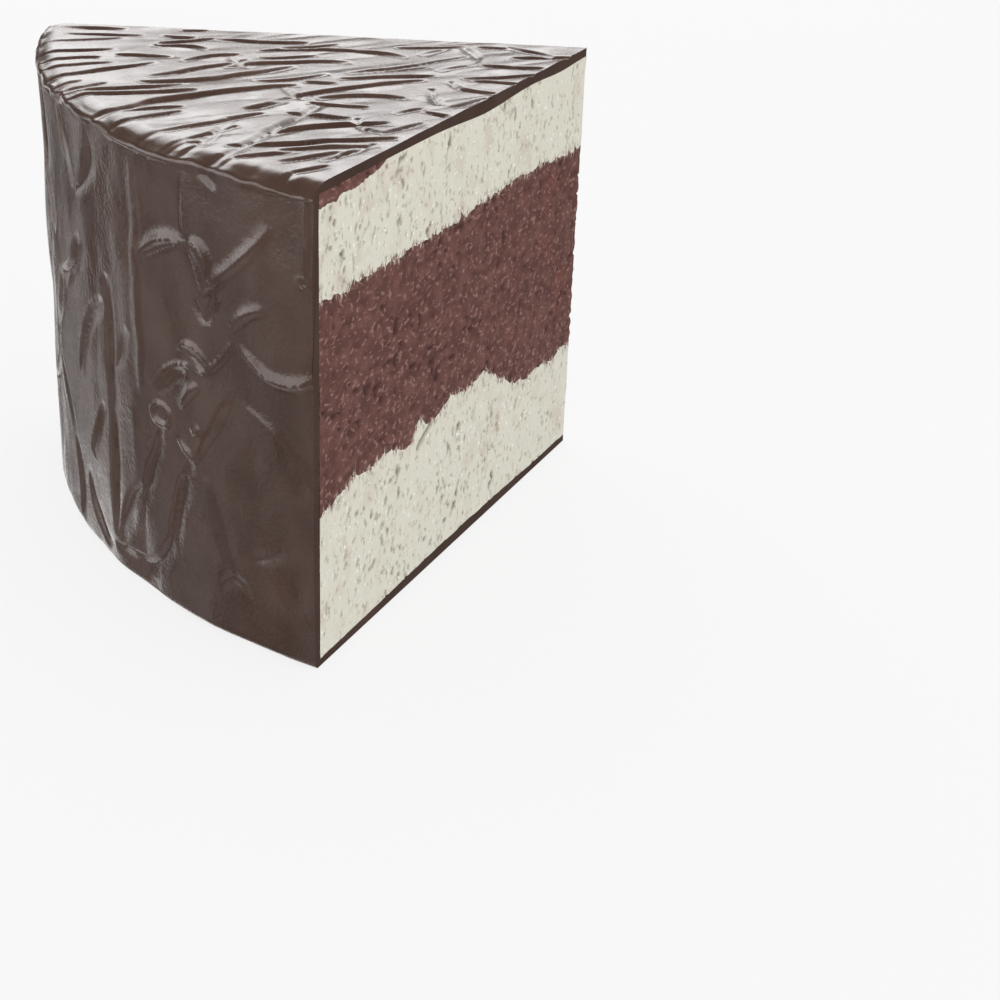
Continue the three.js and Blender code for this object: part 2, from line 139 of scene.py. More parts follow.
# Relief of the cream's cut faces: slanting pits in clusters, marks of the knife, and one crack at a cut
# face, given by the distances from the tip and the heights of its ends
# The pits and the crack are also darkened in the cream's colour, as painted shade in recesses.
PITS = {"slant": 0.35, "stretch": 0.8, "size": 0.7, "seed": 81, "from": 0.3, "full": 0.8, "depth": 0.3}
LARGE_PITS = {"size": 1.7, "seed": 83, "share": 0.45}
PIT_CLUSTERS = {"size": 7, "seed": 82, "from": -0.5, "full": 0.6}
KNIFE_MARKS = {"stretch": [1, 1, 0.5], "size": 3, "seed": 84, "height": 0.1}
CREAM_CRACK = {"from": [59.5, 27.6], "to": [64.6, 24.8], "width": 0.45, "depth": 0.4}

# How far from a seam the torn fibres show, on the sponge and on the cream
SPONGE_SEAM = 0.6
CREAM_SEAM = 0.9

# Folds of the coating on the top: from and to (x, y from the tip), bow to the left, width of the gentle
# side, and depth, which is below zero for a ridge
TOP_FOLDS = [
    [6, 5, 17, 1, 0, 2.2, 0.7],
    [9, 4.5, 13.5, -6, 0, 2.4, 0.6],
    [15, 10, 25, 4, 0, 1.9, 0.7],
    [26, 3, 21, -9, -1.5, 2.2, 0.6],
    [18, 13, 33, 10.5, 0, 1.7, 0.6],
    [32.5, 21, 35.5, 11.5, 1.5, 1.9, 0.75],
    [44, 24, 41, 14, 0, 1.7, 0.7],
    [36, 7, 52, 2.5, 0, 1.7, 0.7],
    [23, -2.5, 49, 0.5, 0, 1.6, 0.6],
    [20, -9, 33, -13, 0, 1.6, 0.6],
    [39, 9, 68, 11.5, -2, 1.9, 0.8],
    [34, -6, 56, -20, -4, 2, 0.85],
    [45, -7, 66, -12, -2, 2, 0.75],
    [47, 18, 61, 12.5, -2, 2.2, 0.8],
    [56, 21, 63, 14, 0, 1.8, 0.7],
    [61, 15, 90, 37.5, 0, 2.2, 0.8],
    [57, 30, 78, 28.5, -2.5, 2.6, 0.9],
    [60, 37.5, 85, 31, 0, 1.8, 0.8],
    [61, 34, 60, 25, 1, 2, 0.7],
    [52, 32, 62, 34.5, 0, 1.7, 0.6],
    [64, 39, 76, 44, 0, 1.8, 0.6],
    [72, 17, 92, 20, 0, 2, 0.7],
    [78, 17, 91, 33, 0, 1.8, 0.6],
    [60, 3.5, 97, 7, -2.5, 2.4, 0.9],
    [62.5, 13, 62.5, 4, 0.6, 1.8, 0.6],
    [76, 0, 97, -6.5, 1.2, 2.2, 0.8],
    [52, -1, 66, -1.5, 1, 1.6, 0.6],
    [55, -8, 83, -8.5, 2, 2.4, 0.8],
    [76, -5, 97, -9, 1.5, 2, 0.7],
    [61.5, -9, 61.5, -20, 0.6, 2, 0.65],
    [60, -15, 80, -11, 0, 1.8, 0.7],
    [60, -19, 71, -18.5, -1.2, 1.8, 0.7],
    [48, -13.5, 58, -15.5, 0, 1.5, 0.6],
    [76, -19, 95, -17, 0, 2, 0.7],
    [82, -22, 96, -24.5, 0, 1.7, 0.6],
    [45, -22, 59, -31, 0, 2.2, 0.8],
    [64, -24, 71, -31, -1.5, 2, 0.75],
    [71.5, -22, 80, -27, -1, 1.8, 0.65],
    [83, -26, 95, -28, -0.8, 1.7, 0.65],
    [78, -31, 91, -34, 0, 1.8, 0.65],
    [62, -33, 67, -37, 0, 1.8, 0.6],
    [74, -38, 88, -40, 0, 1.8, 0.5],
    [71, -44, 81, -50, 0, 2.2, 0.7],
    [76, 46.5, 84, 47.5, 0, 1.8, 0.6],
    [71, 40.5, 82, 41.5, 0, 1.8, 0.6],
    [77, 37.5, 87, 36.5, 0, 2, 0.6],
    [79, 22, 90, 26.5, 0, 1.8, 0.6],
    [86, 29.5, 93, 24, 0, 1.8, 0.6],
    [83, 11, 95, 12.5, 0, 1.6, 0.6],
    [25.5, 17, 32, 11.5, 0, 1.8, 0.7],
    [35, 22.5, 44, 25.5, 0, 1.6, 0.6],
    [46.5, 30.5, 48.5, 26.5, 0, 1.6, 0.6],
    [48, 24.5, 54, 25.5, 0, 1.6, 0.5],
    [64, 40.5, 79, 36, -0.8, 1.6, 0.6],
    [66, 11.5, 74, 14, 0, 2.2, 0.8],
    [82, 8.5, 96, 6, 0, 1.6, 0.6],
    [53.5, 5, 58, 2, 0, 1.6, 0.6],
    [34, 1.5, 48, 0.8, 0, 1.4, 0.5],
    [88, -9.5, 97, -7.5, 0, 1.6, 0.6],
    [91, -12.5, 97, -10.5, 0, 1.5, 0.6],
    [40.5, -19, 51, -20.5, 0, 1.4, 0.5],
    [59, -31.5, 70, -32, 0, 1.8, 0.7],
    [70, -38.5, 82, -45, 0, 1.7, 0.6],
    [58, -37.5, 62.5, -40, 0, 1.5, 0.6],
    [24, -9.5, 31, -6.5, 0, 2, 0.5],
    [12, -3.5, 19, -8, 0, 1.6, 0.5],
    [61, 24.5, 69, 18, 0.6, 2, 0.7],
    [24.5, 3, 34, 4.5, 0, 2, 0.5],
]

# The same on the outer wall: along the arc from its middle, and up from the base
WALL_FOLDS = [
    [-24, 77, -24, 60, 0, 2.2, 0.7],
    [-24, 60, -16, 52, 0, 2, 0.6],
    [-10, 76, -2.5, 64, -1, 1.6, 0.7],
    [4, 75, -1.5, 64, 2, 1.6, 0.6],
    [-2, 57, -14, 46, 1.5, 2, 1.0],
    [-13, 47, -24, 31, 0.5, 2.2, 1.1],
    [-24, 31, -13, 16, 0, 2, 0.9],
    [-13, 17, -9.5, 1, 0.8, 2, 0.8],
    [-24, 30, -38, 17, 2.5, 2.2, 0.6],
    [6, 48, -6.5, 31, -2, 1.8, 0.9],
    [5, 29, -2, 18, -0.5, 1.7, 0.9],
    [-5, 13, 5, 2, -2, 1.8, 0.8],
    [7.5, 53, 8.5, 28, 0, 1.8, 0.9],
    [8.5, 31, 8, 6, 0, 1.8, 1.0],
    [15.5, 46, 9, 36, 0, 1.5, 0.5],
    [35.5, 76.8, 39.5, 75.2, 0, 1.2, 0.8],
    [39.5, 58.5, 36.5, 53.5, 0, 1, 0.6],
    [36.5, 53.5, 34.5, 57, 0, 0.9, 0.6],
    [30.5, 43.5, 23.5, 38, 0, 1, 0.6],
    [36, 46, 31, 47.2, -0.3, 0.6, 0.4],
    [32, 29, 26, 11, -1, 2, 1.0],
    [26.5, 14, 15, 3.5, 2, 1.8, 0.9],
    [24, 32, 17, 17, 0.6, 1.6, 0.8],
    [18, 20, 9, 6, -0.5, 1.8, 0.9],
    [17.5, 5.6, 7.5, 4.2, 0, 1.0, 0.8],
    [43, 43, 33, 28, 0, 2.6, 0.8],
    [45, 15.8, 52, 19.2, 0, 1.6, 0.5],
    [38.5, 8.5, 44.5, 9.5, 2.2, 1.8, 0.5],
    [-33, 74, -41, 44, 3, 2.2, 0.8],
    [-36, 36, -48, 8, -3, 2.2, 0.7],
    [-48, 68, -51, 32, 2, 2, 0.7],
    [19.5, 77, 19.8, 36, 0, 1.4, -0.7],
    [32.8, 77, 32.5, 66, 0, 1.2, -0.4],
    [55.8, 78, 55.6, 65, 0, 1, -0.5],
    [32.5, 64.6, 20, 59.4, -1.7, 1.3, -0.9],
    [33, 64.4, 20.4, 58.4, -0.7, 0.5, -0.45],
    [49.5, 71, 37.5, 60, 0.9, 1.3, -0.9],
    [37.8, 60, 33, 65.5, -1.6, 1.2, -0.9],
    [41.5, 61.5, 36, 57.8, 0.3, 0.5, -0.5],
    [36, 58, 32.8, 64.2, -0.6, 0.5, -0.5],
    [48.5, 58.2, 41.8, 53.8, -0.5, 1.2, -0.8],
    [59, 50.5, 43, 51.3, 3.1, 1.2, -0.9],
    [41.8, 51.5, 36.3, 45.2, 0.5, 0.6, -0.6],
    [37, 46, 29.3, 46.6, -2.2, 0.6, -0.6],
    [36.8, 45.2, 33, 45.2, 0.4, 0.5, -0.4],
    [33.5, 45, 22, 38.4, -1.5, 0.7, -0.6],
    [34.6, 42.2, 29.4, 37, -0.4, 1.4, -0.9],
    [34.6, 34.8, 32.4, 33.6, 0, 1, -0.5],
    [33, 29, 28.5, 32, 0, 0.9, -0.6],
    [35, 27, 41, 11, -0.8, 3.2, -0.5],
    [41, 42.2, 57, 31, 2.8, 2.6, -0.5],
    [31, 26.4, 29, 25, 0, 0.8, -0.4],
]

# Small rings where the coating is crumpled: along the wall, height, radius and rise. Their shape is how much
# wider than high they are, the width of the raised line, and the depth and size of the hollow.
WALL_RINGS = [[24.5, 34.2, 2.3, 0.5], [55.5, 64.5, 0.9, 0.3]]
RING_SHAPE = {"flatten": 1.25, "line": 0.42, "hollow": 0.35, "inside": 0.6}

# How far the wall lies inside the cake's radius, how wide the calmer strip beside the rim is, and how much
# shallower the folds are there
WALL_INSET = 0.2
RIM_CALM = 6
RIM_EASE = 0.15

# The deepest that the wall's relief may go, on the wall and beside the rim, and how softly it stops there
WALL_DEEPEST = 1.6
RIM_DEEPEST = 0.9
WALL_SOFTNESS = 0.5

# Streaks and grain of the top, and waves, creases and grain of the wall
TOP_STREAKS = {"stretch": [0.2, 1, 1], "size": 4, "seed": 3, "height": 0.12}
TOP_GRAIN = {"size": 2.5, "seed": 5, "height": 0.02}
WALL_WAVES = {"stretch": 0.55, "size": 9, "seed": 40, "height": 0.5}
WALL_CREASES = {"size": 13, "seed": 41, "height": 0.25}
WALL_GRAIN = {"size": 2.5, "seed": 43, "height": 0.05}

# How far creases stray, as a share of their size, and how narrow they are
CREASE_STRAY = 0.25
CREASE_NARROW = 1.6

# The light bead along the rim: its place from 0 on the top to 1 on the wall, height and spread, and how far,
# with what size and with which seed it wanders
RIM_BEAD = {"at": 0.76, "height": 0.42, "spread": 0.16}
BEAD_WANDER = [[0.2, 9, 51], [0.1, 3, 52]]

# Shares of the listed widths and depths, width of a fold's steep side against its gentle side, pointedness
# of its ends, softness of its edges, and how far its line strays
TOP_FOLD_SHAPE = {"width": 0.95, "depth": 0.8, "lean": 0.5, "taper": 0.35, "edge": 1.5, "stray": 0.5}
WALL_FOLD_SHAPE = {"width": 1.9, "depth": 1.0, "lean": 0.45, "taper": 0.6, "edge": 1.8, "stray": 0.4}
STRAY_SIZE = 5
STRAY_SEEDS = [101, 105]

# Colours of the materials, in display values from 0 to 255
COAT_COLOURS = [(76, 55, 46), (90, 68, 58)]
COAT_CUT_COLOURS = [(66, 48, 41), (76, 57, 49)]
CREAM_PALE = (221, 218, 203)
CREAM_WARM = (207, 195, 181)
CREAM_FLECK = (172, 162, 140)
# Painted shade: the darker colour of the cream's pits and crack
CREAM_PIT_SHADE = (112, 102, 82)
# Painted highlight: pale specks that stand in for glints on the cream
CREAM_PAINTED_GLINT = (244, 242, 235)
CREAM_STAIN = (120, 76, 68)
SPONGE_DARK = (87, 52, 46)
SPONGE_LIGHT = (112, 72, 65)
SPONGE_RED = (118, 62, 52)
# Painted highlight: light specks that stand in for glints on the crumb's fibres
SPONGE_GLINT_FLECK = (150, 112, 105)
# Painted shade: the darker colour of the sponge's pores
SPONGE_PORE_SHADE = (72, 42, 39)
SPONGE_SMEAR = (205, 190, 176)
FLOOR_COLOURS = [(98, 98, 98), (100, 100, 100)]

# The floor's half width, how far it lies below the slice and how bright it is, in metres and radiance
FLOOR_HALF = 6.0
FLOOR_DROP = 0.0002
FLOOR_GLOW = 0.83

# The camera of the photo's larger view, in metres, radians and millimetres of lens
CAMERA_EYE = Vector((0.14603, 0.28053, 0.15772))
CAMERA_YAW = math.radians(-122.729)
CAMERA_PITCH = math.radians(26.716)
CAMERA_ROLL = math.radians(2.567)
CAMERA_LENS = 67.38
CAMERA_NEAR = 0.01


# Plan of the slice

def wall_reach(turn):
    """Distance from the tip to the outer wall."""
    sideways = TIP_FROM_CENTRE * np.sin(turn)
    return np.sqrt(CAKE_RADIUS ** 2 - sideways ** 2) - TIP_FROM_CENTRE * np.cos(turn)


def along_wall(turn):
    """Length along the arc of the wall, from its middle."""
    reach = wall_reach(turn)
    return CAKE_RADIUS * np.arctan2(reach * np.sin(turn), reach * np.cos(turn) + TIP_FROM_CENTRE)


def place(reach, turn, height):
    """Points in millimetres from the tip, as rows of x, y, z."""
    reach, turn, height = np.broadcast_arrays(reach, turn, height)
    return np.stack([reach * np.cos(turn), reach * np.sin(turn), height], axis=-1)


# Noise

def lattice_value(cell, seed):
    """A repeatable number between -1 and 1 for each whole-number cell."""
    mixed = cell[..., 0] * 374761393 + cell[..., 1] * 668265263 + cell[..., 2] * 1103515245 + seed * 974711
    mixed = mixed & 0xFFFFFFFF
    mixed = ((mixed ^ (mixed >> 13)) * 1274126177) & 0xFFFFFFFF
    mixed = mixed ^ (mixed >> 16)
    return mixed / 2147483648.0 - 1.0


def noise(points, size, seed):
    """Smooth noise between -1 and 1, with features of about `size` millimetres."""
    scaled = np.asarray(points) / size
    cell = np.floor(scaled).astype(np.int64)
    part = scaled - cell
    ease = part * part * (3 - 2 * part)
    total = np.zeros(scaled.shape[:-1])
    for corner in itertools.product((0, 1), repeat=3):
        weight = np.prod(np.where(np.array(corner) == 1, ease, 1 - ease), axis=-1)
        total += weight * lattice_value(cell + np.array(corner), seed)
    return total


def layered_noise(points, size, seed, layers):
    """Noise with finer and weaker layers of itself added."""
    total = np.zeros(np.asarray(points).shape[:-1])
    for layer in range(layers):
        total += noise(points, size / 2 ** layer, seed + layer) / 2 ** layer
    return total


def smooth_step(value, low, high):
    share = np.clip((value - low) / (high - low), 0, 1)
    return share * share * (3 - 2 * share)


def bell(distance, spread):
    return np.exp(-(distance / spread) ** 2)


# Relief

def wobbled(x, y, stray):
    """The same places a little astray, so that folds and rings aren't ruled lines."""
    points = np.stack([x, y, 0 * x], axis=-1)
    shift_x, shift_y = [stray * noise(points, STRAY_SIZE, seed) for seed in STRAY_SEEDS]
    return x + shift_x, y + shift_y


def folds(fold_list, shape, x, y):
    """Relief of the folds: valleys and ridges with a sharp line between a steep and a gentle side."""
    x, y = wobbled(x, y, shape["stray"])
    deepest = np.zeros_like(x)
    highest = np.zeros_like(x)
    for x0, y0, x1, y1, bow, listed_width, listed_depth in fold_list:
        width = listed_width * shape["width"]
        depth = listed_depth * shape["depth"]
        length = math.hypot(x1 - x0, y1 - y0)
        along_x = (x1 - x0) / length
        along_y = (y1 - y0) / length
        along = np.clip(((x - x0) * along_x + (y - y0) * along_y) / length, 0, 1)
        arch = 4 * along * (1 - along)
        off = (y - y0) * along_x - (x - x0) * along_y - bow * arch
        gentle = off * np.sign(depth)
        reach = np.where(gentle > 0, gentle / width, -gentle / (width * shape["lean"]))
        size = arch ** shape["taper"] * np.clip(1 - reach, 0, None) ** shape["edge"]
        deepest = np.maximum(deepest, depth * size)
        highest = np.maximum(highest, -depth * size)
    return highest - deepest


def crumple(points, size, seed):
    """Smooth pillows between sharp creases, between -1 and 0."""
    shift = np.stack([noise(points, size, seed + more) for more in (7, 8, 9)], axis=-1)
    warped = points + CREASE_STRAY * size * shift
    return np.clip(CREASE_NARROW * np.abs(noise(warped, size, seed)), 0, 1) - 1


def bumps(bump_list, reach, across):
    height = np.zeros(np.broadcast(reach, across).shape)
    for bump in bump_list:
        near = bell(reach - bump["reach"], bump["along"]) * bell(across - bump["across"], bump["sideways"])
        height = height + bump["height"] * near
    return height


# Heights of the surfaces between the layers

def coat_underside(reach, across):
    return HEIGHT - TOP_COAT - bumps(COAT_SAGS, reach, across)


def base_top(reach, across):
    swell = BASE_COAT["more"] * bell(reach - BASE_COAT["at"], BASE_COAT["spread"])
    return BASE_COAT["least"] + swell + 0 * across


def ragged(reach, across, size, seed):
    """The torn edge of the crumb, which shows at the cut faces."""
    points = place(reach, across * HALF_ANGLE, 0 * reach)
    return layered_noise(points, size, seed, RAGGED_LAYERS)


def tufts(reach, across, seed):
    """Thin spikes of torn crumb and cream along a seam, longer in some patches."""
    spikes = np.clip(ragged(reach, across, SPIKES["size"], seed), 0, None)
    patches = ragged(reach, across, SPIKES["patch"], seed + 5)
    return spikes * spikes * (SPIKES["even"] + (1 - SPIKES["even"]) * patches)


def torn(reach, across, tear):
    height = tufts(reach, across, tear["spike_seed"])
    for rise, size, seed in tear["edges"]:
        height = height + rise * ragged(reach, across, size, seed)
    return height


def upper_seam(reach, across):
    return UPPER_SEAM_LEVEL + bumps(UPPER_SEAM_BUMPS, reach, across) + torn(reach, across, UPPER_TEAR)


def lower_seam(reach, across):
    rise = smooth_step(reach, LOWER_SEAM_STEP["from"], LOWER_SEAM_STEP["to"])
    side = smooth_step(across, -1, 1)
    level = LOWER_SEAM_LEVEL + LOWER_SEAM_STEP["height"] * rise * side
    return level + bumps(LOWER_SEAM_BUMPS, reach, across) + torn(reach, across, LOWER_TEAR)


def sliver_length(across):
    """How far the thin piece of sponge under the glaze reaches in from the wall."""
    share = np.clip((across - SLIVER["from"]) / (1 - SLIVER["from"]), 0, 1)
    return SLIVER["blunt"] + (SLIVER["length"] - SLIVER["blunt"]) * np.sqrt(share)


def sliver_depth(reach, across):
    """Thickness of that piece, zero away from it."""
    from_wall = np.clip(wall_reach(across * HALF_ANGLE) - WALL_COAT - reach, 0, None)
    fade = smooth_step(across, SLIVER["from"], SLIVER["full"])
    share = np.clip(1 - from_wall / sliver_length(across), 0, 1)
    thickness = SLIVER["thickness"] * np.sqrt(share) * fade
    edge = SLIVER_TEAR["height"] * ragged(reach, across, SLIVER_TEAR["size"], SLIVER_TEAR["seed"])
    return thickness + edge * smooth_step(thickness, SLIVER_TEAR["from"], SLIVER_TEAR["full"])


def upper_cream_top(reach, across):
    return coat_underside(reach, across) - sliver_depth(reach, across)


# Meshes

class Skin:
    """Points, faces and the number of each face's material, gathered row by row."""

    def __init__(self):
        self.points = []
        self.faces = []
        self.face_materials = []
        self.count = 0

    def add(self, points):
        """Adds points of any grid shape and returns their indices in the same shape."""
        points = np.asarray(points, dtype=float)
        flat = points.reshape(-1, 3)
        indices = np.arange(self.count, self.count + len(flat)).reshape(points.shape[:-1])
        self.points.append(flat)
        self.count += len(flat)
        return indices

    def quads(self, grid, material=0):
        """Quads over a grid of indices: faces point along rows x columns."""
        corners = np.stack([grid[:-1, :-1], grid[1:, :-1], grid[1:, 1:], grid[:-1, 1:]], axis=-1)
        faces = corners.reshape(-1, 4).tolist()
        self.faces.extend(faces)
        self.face_materials.extend([material] * len(faces))

    def triangles(self, row_a, row_b, marks_a, marks_b, material):
        """Triangles between two rows of indices, which move on along the row with the lower next mark."""
        a, b = 0, 0
        last_a, last_b = len(row_a) - 1, len(row_b) - 1
        while a < last_a or b < last_b:
            if b == last_b or (a < last_a and marks_a[a + 1] <= marks_b[b + 1]):
                self.faces.append([int(row_a[a]), int(row_b[b]), int(row_a[a + 1])])
                a += 1
            else:
                self.faces.append([int(row_a[a]), int(row_b[b]), int(row_b[b + 1])])
                b += 1
            self.face_materials.append(material)

    def band(self, row_a, row_b, material=0):
        """Faces between two rows of indices with the same ends, of any lengths."""
        if len(row_a) == len(row_b):
            self.quads(np.stack([row_a, row_b]), material)
            return
        marks_a = np.arange(len(row_a)) * (len(row_b) - 1)
        marks_b = np.arange(len(row_b)) * (len(row_a) - 1)
        self.triangles(row_a, row_b, marks_a, marks_b, material)

    def strip(self, row_a, row_b, material=0):
        """Faces between two long rows that run side by side, matched by their running length."""
        points = np.concatenate(self.points)
        lengths = []
        for row in (row_a, row_b):
            steps = np.linalg.norm(np.diff(points[row], axis=0), axis=1)
            lengths.append(np.concatenate([[0], np.cumsum(steps)]) / steps.sum())
        self.triangles(row_a, row_b, *lengths, material)

    def bands(self, rows, material=0):
        for row_a, row_b in zip(rows, rows[1:]):
            self.band(row_a, row_b, material)


def make_piece(name, skin, materials, node, fields):
    """A smooth-shaded mesh object that stands for one solid, with named values per point."""
    points = np.concatenate(skin.points) * MM + TIP_PLACE
    mesh = bpy.data.meshes.new(name)
    mesh.from_pydata(points, [], skin.faces)
    for material in materials:
        mesh.materials.append(material)
    mesh.polygons.foreach_set("material_index", skin.face_materials)
    for field, values in fields.items():
        mesh.attributes.new(field, "FLOAT", "POINT").data.foreach_set("value", values.astype(np.float32))
    mesh.shade_smooth()
    mesh.set_sharp_from_angle(angle=math.radians(SHARP_ANGLE))
    mesh.validate()
    piece = bpy.data.objects.new(name, mesh)
    bpy.context.scene.collection.objects.link(piece)
    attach(piece, "root")
    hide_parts(node)
    return piece


def evenly(count):
    return np.linspace(0, 1, count + 1)


# Coating

def top_offset(reach, turn):
    """Folds and finer streaks that mostly run from the tip to the rim, and are calmer beside it."""
    points = place(reach, turn, HEIGHT)
    streaks = crumple(points * TOP_STREAKS["stretch"], TOP_STREAKS["size"], TOP_STREAKS["seed"])
    total = folds(TOP_FOLDS, TOP_FOLD_SHAPE, points[..., 0], points[..., 1])
    total = total + TOP_STREAKS["height"] * streaks
    rim = wall_reach(turn) - RIM_IN
    calm = 1 - RIM_EASE * smooth_step(reach, rim - RIM_CALM, rim)
    return total * calm + TOP_GRAIN["height"] * noise(points, TOP_GRAIN["size"], TOP_GRAIN["seed"])


def wall_offset(turn, height):
    """Hanging folds, ridges and rings on a wall with soft upright waves."""
    along, height = np.broadcast_arrays(along_wall(turn), height)
    total = folds(WALL_FOLDS, WALL_FOLD_SHAPE, along, height) - WALL_INSET
    ring_x, ring_y = wobbled(along, height, WALL_FOLD_SHAPE["stray"])
    for ring_along, ring_height, radius, rise in WALL_RINGS:
        from_middle = np.hypot(ring_x - ring_along, (ring_y - ring_height) * RING_SHAPE["flatten"])
        hollow = RING_SHAPE["hollow"] * bell(from_middle, radius * RING_SHAPE["inside"])
        total = total + rise * (bell(from_middle - radius, RING_SHAPE["line"]) - hollow)
    points = np.stack([along, 0 * along, height * WALL_WAVES["stretch"]], axis=-1)
    waves = WALL_WAVES["height"] * noise(points, WALL_WAVES["size"], WALL_WAVES["seed"])
    creases = WALL_CREASES["height"] * crumple(points, WALL_CREASES["size"], WALL_CREASES["seed"])
    grain = WALL_GRAIN["height"] * noise(points, WALL_GRAIN["size"], WALL_GRAIN["seed"])
    rim = smooth_step(height, HEIGHT - RIM_CALM - RIM_DOWN, HEIGHT - RIM_DOWN)
    deepest = (WALL_DEEPEST - RIM_DEEPEST) * rim - WALL_DEEPEST
    over = total + waves + creases - deepest
    return deepest + (over + np.hypot(over, WALL_SOFTNESS)) / 2 + grain


def skin_turns(width, step):
    count = max(1, int(round(width / step)))
    return HALF_ANGLE * (2 * evenly(count) - 1)


def coat_outer_rows(skin):
    """Rows from the tip over the top, the rim, the wall and the foot, and back under the base to the tip."""
    rows = [skin.add(place(np.zeros(1), 0, HEIGHT))]
    for share in evenly(int((DEPTH - RIM_IN) / SKIN_STEP))[1:]:
        turns = skin_turns(share * DEPTH * 2 * HALF_ANGLE, SKIN_STEP)
        reach = share * (wall_reach(turns) - RIM_IN)
        rows.append(skin.add(place(reach, turns, HEIGHT + top_offset(reach, turns))))
    turns = skin_turns(DEPTH * 2 * HALF_ANGLE, SKIN_STEP)
    edge = wall_reach(turns)
    rim_drop = top_offset(edge - RIM_IN, turns)
    wall_top = wall_offset(turns, HEIGHT - RIM_DOWN)
    bead_at = RIM_BEAD["at"]
    for stray, size, seed in BEAD_WANDER:
        bead_at = bead_at + stray * noise(place(edge, turns, 0), size, seed)
    for share in evenly(RIM_STEPS)[1:-1]:
        out, up = math.sin(share * math.pi / 2), math.cos(share * math.pi / 2)
        bead = RIM_BEAD["height"] * bell(share - bead_at, RIM_BEAD["spread"])
        reach = edge - RIM_IN + (RIM_IN + wall_top) * out + bead * out
        rows.append(skin.add(place(reach, turns, HEIGHT - RIM_DOWN + (RIM_DOWN + rim_drop + bead) * up)))
    drop = HEIGHT - RIM_DOWN - FOOT_ROUND
    for share in evenly(int(drop / SKIN_STEP)):
        height = HEIGHT - RIM_DOWN - share * drop
        rows.append(skin.add(place(edge + wall_offset(turns, height), turns, height)))
    foot = wall_offset(turns, FOOT_ROUND)
    for share in evenly(FOOT_STEPS)[1:]:
        out, up = math.cos(share * math.pi / 2), 1 - math.sin(share * math.pi / 2)
        rows.append(skin.add(place(edge - FOOT_ROUND + (FOOT_ROUND + foot) * out, turns, FOOT_ROUND * up)))
    rows.append(skin.add(place(np.zeros(1), 0, 0)))
    return rows


def hidden_rows(skin, height):
    """Rows of an inner surface from the tip to the inside of the wall."""
    rows = [skin.add(place(np.zeros(1), 0, height(np.zeros(1), np.zeros(1))))]
    for share in evenly(int(DEPTH / HIDDEN_ROW_STEP))[1:]:
        turns = skin_turns(share * DEPTH * 2 * HALF_ANGLE, HIDDEN_STEP)
        reach = share * (wall_reach(turns) - WALL_COAT)
        rows.append(skin.add(place(reach, turns, height(reach, turns / HALF_ANGLE))))
    return rows


def coating(materials):
    skin = Skin()
    outer = coat_outer_rows(skin)
    inner = hidden_rows(skin, coat_underside) + hidden_rows(skin, base_top)[::-1]
    skin.bands(outer)
    skin.bands(inner[::-1], 1)
    for column, (first, second) in ((0, (outer, inner)), (-1, (inner, outer))):
        skin.strip([row[column] for row in first], [row[column] for row in second], 1)
    height = np.concatenate(skin.points)[:, 2]
    fields = {"upright": smooth_step(HEIGHT - height, TOP_COAT, RIM_DOWN)}
    return make_piece("coating", skin, materials, "chocolate_coating", fields)


# Layers

def layer_edge(turn):
    """Distance from the tip to the outer edge of a layer."""
    return wall_reach(turn) - WALL_COAT + COAT_OVERLAP


def outward(across):
    """Direction out of a cut face."""
    return np.array([-math.sin(HALF_ANGLE), across * math.cos(HALF_ANGLE), 0])


def layer_face(across, bottom, top, rows):
    """Grid of points over one cut face, from the tip to the wall and from the bottom seam to the top one."""
    turn = across * HALF_ANGLE
    reach = layer_edge(turn) * evenly(int(DEPTH / CRUMB_STEP))[:, None]
    low = bottom(reach, across + 0 * reach)
    high = top(reach, across + 0 * reach)
    height = low + (high - low) * evenly(rows)[None, :]
    return place(reach, turn, height)


def layer(name, materials, node, slot, bottom, top, relief, rows):
    """A layer that runs through the slice, with relief and `rows` of points up its two cut faces."""
    skin = Skin()
    grids = {}
    fields = {}
    for across in (1, -1):
        grid = layer_face(across, bottom, top, rows)
        depth, values = relief(grid, across)
        moved = grid + depth[..., None] * outward(across)
        moved[0] = grid[0] + depth[0][:, None] * np.array([-1, 0, 0])
        grids[across] = skin.add(moved)
        for field, value in values.items():
            fields.setdefault(field, []).append(value.ravel())
    grids[-1][0] = grids[1][0]
    skin.quads(grids[1].T)
    skin.quads(grids[-1])
    rims = {}
    for across, grid in grids.items():
        rims[across] = np.concatenate([grid[1:, 0], grid[-1, 1:], grid[-2:0:-1, -1]])
    columns = [rims[1]]
    for across in LAYER_PLACES:
        turn = across * HALF_ANGLE
        reach = layer_edge(turn) * evenly(int(DEPTH / CRUMB_STEP))[1:]
        low = bottom(reach, across + 0 * reach)
        high = top(reach, across + 0 * reach)
        wall = low[-1] + (high[-1] - low[-1]) * evenly(rows)[1:]
        loop_reach = np.concatenate([reach, 0 * wall + reach[-1], reach[-2::-1]])
        loop_height = np.concatenate([low, wall, high[-2::-1]])
        columns.append(skin.add(place(loop_reach, turn, loop_height)))
    columns.append(rims[-1])
    for first, second in zip(columns, columns[1:]):
        skin.quads(np.stack([first, second]).T)
        low_tip = int(grids[1][0, 0])
        high_tip = int(grids[1][0, -1])
        skin.faces.append([low_tip, int(first[0]), int(second[0])])
        skin.faces.append([high_tip, int(second[-1]), int(first[-1])])
        skin.face_materials.extend([0, 0])
    padded = {}
    for field, parts in fields.items():
        known = np.concatenate(parts)
        padded[field] = np.concatenate([known, np.zeros(skin.count - len(known))])
    return make_piece(name, skin, materials, node, padded)


